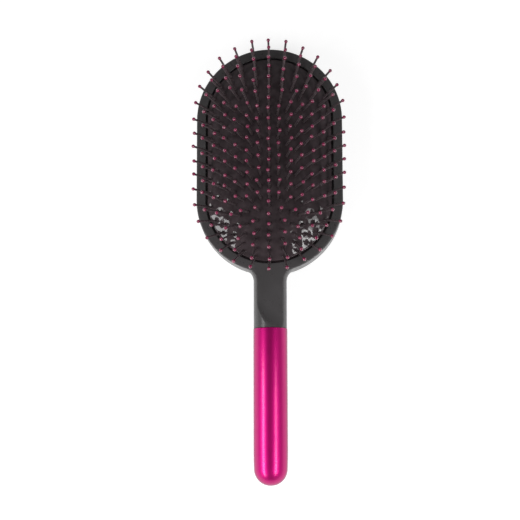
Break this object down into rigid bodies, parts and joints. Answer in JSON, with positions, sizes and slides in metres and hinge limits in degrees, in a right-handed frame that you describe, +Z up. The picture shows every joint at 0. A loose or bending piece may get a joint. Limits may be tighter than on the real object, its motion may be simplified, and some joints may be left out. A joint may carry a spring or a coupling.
{
  "type": "paddle brush",
  "caption": "Paddle hair brush: stadium head with a domed rubber air cushion, rings of ball-tipped pins, and a round metallic magenta handle.",
  "frame": {"origin": "middle of the bottom face of the bounding box, on the surface that the brush lies on", "axes": "+Z up, the way the pins point; +Y along the brush towards the head; +X to the right, seen from above with the head away from you"},
  "size_m": [0.0858, 0.251, 0.0411],
  "materials": {
    "body_plastic": "satin dark grey moulded plastic",
    "cushion_rubber": "glossy black rubber",
    "pad_base_plastic": "plain black moulded plastic",
    "handle_magenta": "metallic magenta under clear lacquer",
    "pins": "dark nylon pins with rose-pink ball tips"
  },
  "bodies": {
    "brush_body": {"front_frame": "body_plastic", "back_shell": "body_plastic", "cushion": "cushion_rubber", "pad_base": "pad_base_plastic", "handle_sleeve": "handle_magenta"},
    "centre_row": {"pins_centre_row": "pins"},
    "ring_1": {"pins_ring_1_right_top": "pins", "pins_ring_1_right_bottom": "pins", "pins_ring_1_left_bottom": "pins", "pins_ring_1_left_top": "pins"},
    "ring_2": {"pins_ring_2_right_top": "pins", "pins_ring_2_right_bottom": "pins", "pins_ring_2_left_bottom": "pins", "pins_ring_2_left_top": "pins"},
    "ring_3": {"pins_ring_3_right_top": "pins", "pins_ring_3_right_bottom": "pins", "pins_ring_3_left_bottom": "pins", "pins_ring_3_left_top": "pins"},
    "ring_4": {"pins_ring_4_right_top": "pins", "pins_ring_4_right_bottom": "pins", "pins_ring_4_left_bottom": "pins", "pins_ring_4_left_top": "pins"},
    "ring_5": {"pins_ring_5_right_top": "pins", "pins_ring_5_right_bottom": "pins", "pins_ring_5_left_bottom": "pins", "pins_ring_5_left_top": "pins"},
    "ring_6": {"pins_ring_6_right_top": "pins", "pins_ring_6_right_bottom": "pins", "pins_ring_6_left_bottom": "pins", "pins_ring_6_left_top": "pins"},
    "ring_7": {"pins_ring_7_right_top": "pins", "pins_ring_7_right_bottom": "pins", "pins_ring_7_left_bottom": "pins", "pins_ring_7_left_top": "pins"}
  },
  "joints": [
    {"name": "cushion_press", "type": "slide", "parent": "brush_body", "child": "centre_row", "axis": [0, 0, -1], "range_m": [0, 0.004], "stiffness_N_per_m": 250, "deforming": ["cushion"]},
    {"name": "ring_1_press", "type": "slide", "parent": "brush_body", "child": "ring_1", "axis": [0, 0, -1], "range_m": [0, 0.00393], "stiffness_N_per_m": 250},
    {"name": "ring_2_press", "type": "slide", "parent": "brush_body", "child": "ring_2", "axis": [0, 0, -1], "range_m": [0, 0.00372], "stiffness_N_per_m": 250},
    {"name": "ring_3_press", "type": "slide", "parent": "brush_body", "child": "ring_3", "axis": [0, 0, -1], "range_m": [0, 0.00336], "stiffness_N_per_m": 250},
    {"name": "ring_4_press", "type": "slide", "parent": "brush_body", "child": "ring_4", "axis": [0, 0, -1], "range_m": [0, 0.00285], "stiffness_N_per_m": 250},
    {"name": "ring_5_press", "type": "slide", "parent": "brush_body", "child": "ring_5", "axis": [0, 0, -1], "range_m": [0, 0.00219], "stiffness_N_per_m": 250},
    {"name": "ring_6_press", "type": "slide", "parent": "brush_body", "child": "ring_6", "axis": [0, 0, -1], "range_m": [0, 0.00137], "stiffness_N_per_m": 250},
    {"name": "ring_7_press", "type": "slide", "parent": "brush_body", "child": "ring_7", "axis": [0, 0, -1], "range_m": [0, 0.00056], "stiffness_N_per_m": 250}
  ],
  "couplings": [
    {"joint": "ring_1_press", "follows": "cushion_press", "ratio": 0.98227},
    {"joint": "ring_2_press", "follows": "cushion_press", "ratio": 0.92892},
    {"joint": "ring_3_press", "follows": "cushion_press", "ratio": 0.83943},
    {"joint": "ring_4_press", "follows": "cushion_press", "ratio": 0.71294},
    {"joint": "ring_5_press", "follows": "cushion_press", "ratio": 0.54818},
    {"joint": "ring_6_press", "follows": "cushion_press", "ratio": 0.34337},
    {"joint": "ring_7_press", "follows": "cushion_press", "ratio": 0.13956}
  ]
}
